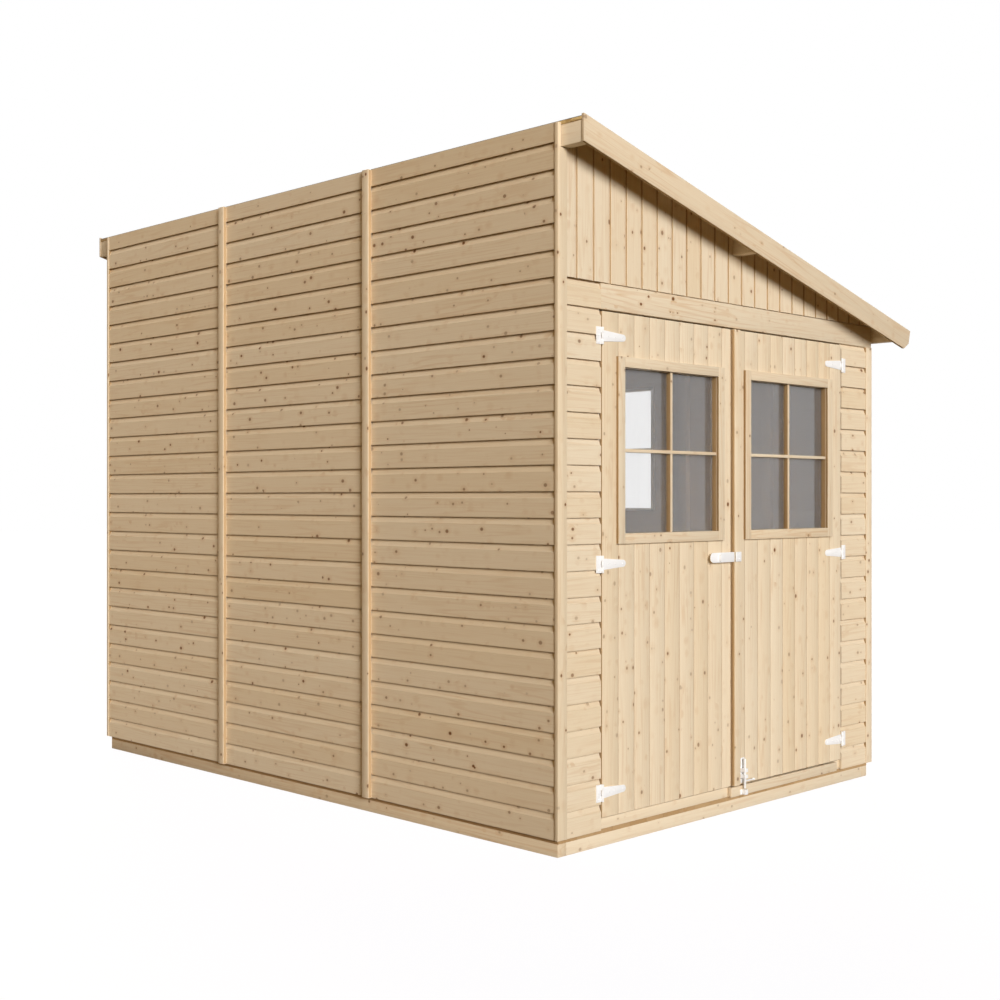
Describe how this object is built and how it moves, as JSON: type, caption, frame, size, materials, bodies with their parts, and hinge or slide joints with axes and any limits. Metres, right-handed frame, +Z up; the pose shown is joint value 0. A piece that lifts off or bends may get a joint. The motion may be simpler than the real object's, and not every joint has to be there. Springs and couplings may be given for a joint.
{
  "type": "wooden garden shed",
  "caption": "Lean-to wooden garden shed of horizontal shiplap boards with a pair of glazed outward-opening doors, a side window and a single-pitch felted roof.",
  "frame": {"origin": "on the ground, under the middle of the whole shed's box", "axes": "+Z up, doors face -Y, roof falls towards +X"},
  "size_m": [2.033, 2.95, 2.3125],
  "materials": {
    "spruce_cladding": "planed untreated spruce, matt",
    "frame_timber": "planed untreated spruce, matt",
    "roof_board": "pressed strand board, matt",
    "roof_felt": "mineral-surfaced bitumen felt, matt",
    "clear_glass": "clear float glass",
    "white_steel": "white powder coat, satin"
  },
  "bodies": {
    "shed": {"base_bearers": "frame_timber", "base_joists": "frame_timber", "floor": "frame_timber", "purlins": "frame_timber", "left_wall_front_panel": "spruce_cladding", "left_wall_middle_panel": "spruce_cladding", "left_wall_rear_panel": "spruce_cladding", "right_wall_front_panel": "spruce_cladding", "right_wall_middle_panel": "spruce_cladding", "right_wall_rear_panel": "spruce_cladding", "side_wall_rails": "frame_timber", "side_wall_studs": "frame_timber", "side_cover_strips": "spruce_cladding", "corner_strips": "spruce_cladding", "front_left_panel": "spruce_cladding", "front_right_panel": "spruce_cladding", "door_lintel": "spruce_cladding", "front_gable": "spruce_cladding", "back_wall_left_panel": "spruce_cladding", "back_wall_right_panel": "spruce_cladding", "back_cover_strip": "spruce_cladding", "back_gable": "spruce_cladding", "end_wall_rails": "frame_timber", "end_wall_studs": "frame_timber", "bolt_rail": "spruce_cladding", "roof_deck": "roof_board", "roof_felt": "roof_felt", "bargeboards": "spruce_cladding", "side_window_frame": "spruce_cladding", "side_window_glass": "clear_glass", "left_hinge_plates": "white_steel", "right_hinge_plates": "white_steel", "bolt_keeper": "white_steel"},
    "left_door": {"left_door_boards": "spruce_cladding", "left_door_ledges": "frame_timber", "left_window_frame": "spruce_cladding", "left_window_glass": "clear_glass", "left_hinge_straps": "white_steel", "hasp_strap": "white_steel"},
    "right_door": {"right_door_boards": "spruce_cladding", "right_door_ledges": "frame_timber", "right_window_frame": "spruce_cladding", "right_window_glass": "clear_glass", "right_hinge_straps": "white_steel", "meeting_strip": "spruce_cladding", "hasp_plate": "white_steel", "bolt_plate": "white_steel"},
    "bolt": {"door_bolt": "white_steel"}
  },
  "joints": [
    {"name": "left_door_hinge", "type": "hinge", "parent": "shed", "child": "left_door", "pos_m": [-0.793, -1.3815, 0.9135], "axis": [0, 0, -1], "range_deg": [0, 150]},
    {"name": "right_door_hinge", "type": "hinge", "parent": "shed", "child": "right_door", "pos_m": [0.648, -1.3815, 0.9135], "axis": [0, 0, 1], "range_deg": [0, 150]},
    {"name": "bolt_slide", "type": "slide", "parent": "right_door", "child": "bolt", "axis": [0, 0, -1], "range_m": [0, 0.024]}
  ]
}
